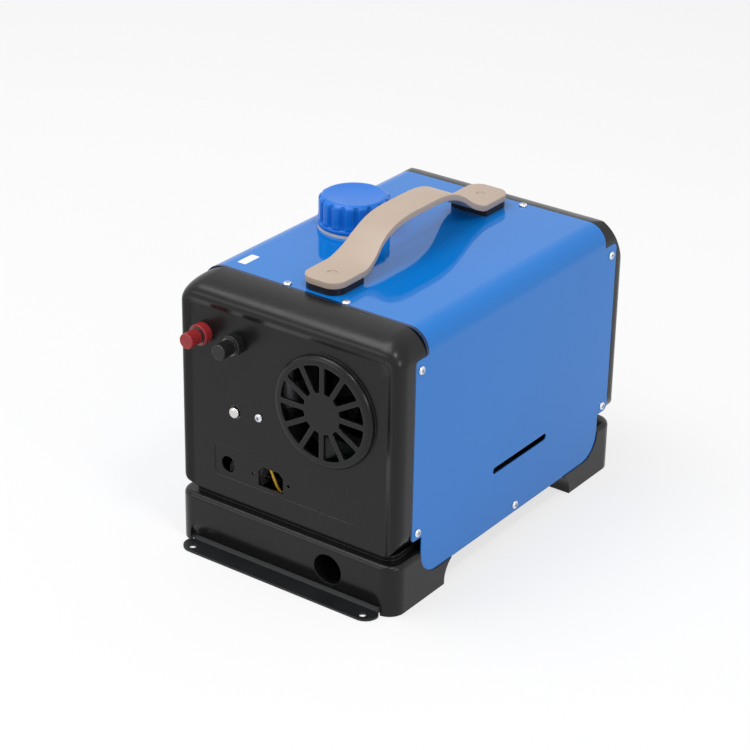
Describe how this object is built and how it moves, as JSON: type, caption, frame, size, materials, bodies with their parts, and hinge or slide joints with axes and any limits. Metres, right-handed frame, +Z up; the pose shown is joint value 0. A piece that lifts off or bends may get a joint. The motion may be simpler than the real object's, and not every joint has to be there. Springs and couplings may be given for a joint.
{
  "type": "portable diesel air heater",
  "caption": "Portable diesel air heater: folded sheet casing over a moulded base, fan guard and binding posts in front, carrying handle and screw-capped fuel filler on top.",
  "frame": {"origin": "middle of the bounding box on the ground", "axes": "+X to the right seen from the front, +Y from the front panel to the hot-air collar, +Z up"},
  "size_m": [0.2478, 0.417, 0.3051],
  "materials": {
    "black_shell": "satin",
    "blue_sheet": "gloss",
    "zinc": "satin",
    "black_steel": "satin",
    "tan_strap": "satin",
    "black_rubber": "matte",
    "tank_plastic": "satin",
    "white_plastic": "gloss",
    "blue_plastic": "satin",
    "red_plastic": "gloss",
    "post_black": "gloss",
    "nickel": "gloss",
    "brass": "satin",
    "unit_plastic": "matte",
    "steel": "satin",
    "casting": "cast",
    "hot_steel": "satin",
    "gasket": "matte",
    "hose": "satin",
    "board": "gloss",
    "orange_wire": "gloss",
    "yellow_wire": "gloss"
  },
  "bodies": {
    "heater": {"front_cover": "black_shell", "rear_cover": "black_shell", "outlet_grille": "black_shell", "casing_shell": "blue_sheet", "casing_screws": "zinc", "base_tray": "black_shell", "front_mounting_strip": "black_steel", "rear_mounting_strip": "black_steel", "strip_screws": "zinc", "handle": "tan_strap", "front_handle_pad": "black_rubber", "rear_handle_pad": "black_rubber", "handle_screws": "zinc", "fuel_tank": "tank_plastic", "neck_ring": "white_plastic", "red_post_collar": "red_plastic", "red_post_stud": "brass", "black_post_collar": "post_black", "black_post_stud": "brass", "post_nuts": "zinc", "blanking_plug": "nickel", "panel_screw": "zinc", "heater_upper_shell": "unit_plastic", "heater_lower_shell": "unit_plastic", "motor_mount": "unit_plastic", "blower_motor": "steel", "combustion_housing": "casting", "glow_plug": "steel", "burner": "hot_steel", "burner_gasket": "gasket", "heat_exchanger": "casting", "floor_gasket": "gasket", "unit_bracket": "steel", "overheat_sensor": "steel", "pump_body": "steel", "pump_spring": "steel", "pump_clamp": "black_rubber", "fuel_filter": "white_plastic", "suction_hose": "hose", "filter_hose": "hose", "burner_hose": "hose", "control_board": "board", "board_bracket": "steel", "orange_lead": "orange_wire", "yellow_lead": "yellow_wire"},
    "cap_lift_ring": {"cap_seal": "black_rubber"},
    "cap": {"fuel_cap": "blue_plastic"},
    "red_contact": {"red_post_washer": "nickel"},
    "red_knob": {"red_post_knob": "red_plastic"},
    "black_contact": {"black_post_washer": "nickel"},
    "black_knob": {"black_post_knob": "post_black"},
    "rotor": {"motor_shaft": "steel", "intake_fan": "unit_plastic", "combustion_fan": "casting"},
    "plunger": {"pump_plunger": "steel"}
  },
  "joints": [
    {"name": "cap_lift", "type": "slide", "parent": "heater", "child": "cap_lift_ring", "axis": [0, 0, 1], "range_m": [0, 0.006]},
    {"name": "cap_turn", "type": "hinge", "parent": "cap_lift_ring", "child": "cap", "pos_m": [-0.0645, -0.0008, 0.27], "axis": [0, 0, 1], "range_deg": [0, 540]},
    {"name": "red_knob_lift", "type": "slide", "parent": "heater", "child": "red_contact", "axis": [0, -1, 0], "range_m": [0, 0.003]},
    {"name": "red_knob_turn", "type": "hinge", "parent": "red_contact", "child": "red_knob", "pos_m": [-0.094, -0.1985, 0.214], "axis": [0, -1, 0], "range_deg": [0, 1080]},
    {"name": "black_knob_lift", "type": "slide", "parent": "heater", "child": "black_contact", "axis": [0, -1, 0], "range_m": [0, 0.003]},
    {"name": "black_knob_turn", "type": "hinge", "parent": "black_contact", "child": "black_knob", "pos_m": [-0.0573, -0.1985, 0.214], "axis": [0, -1, 0], "range_deg": [0, 1080]},
    {"name": "rotor_spin", "type": "hinge", "parent": "heater", "child": "rotor", "pos_m": [0.042, -0.0865, 0.1781], "axis": [0, 1, 0], "continuous": true},
    {"name": "plunger_stroke", "type": "slide", "parent": "heater", "child": "plunger", "axis": [0, 0, 1], "range_m": [0, 0.003], "stiffness_N_per_m": 400, "deforming": ["pump_spring"]}
  ],
  "couplings": [
    {"joint": "cap_turn", "follows": "cap_lift", "rad_per_m": 1570},
    {"joint": "red_knob_turn", "follows": "red_knob_lift", "rad_per_m": 6280},
    {"joint": "black_knob_turn", "follows": "black_knob_lift", "rad_per_m": 6280}
  ]
}
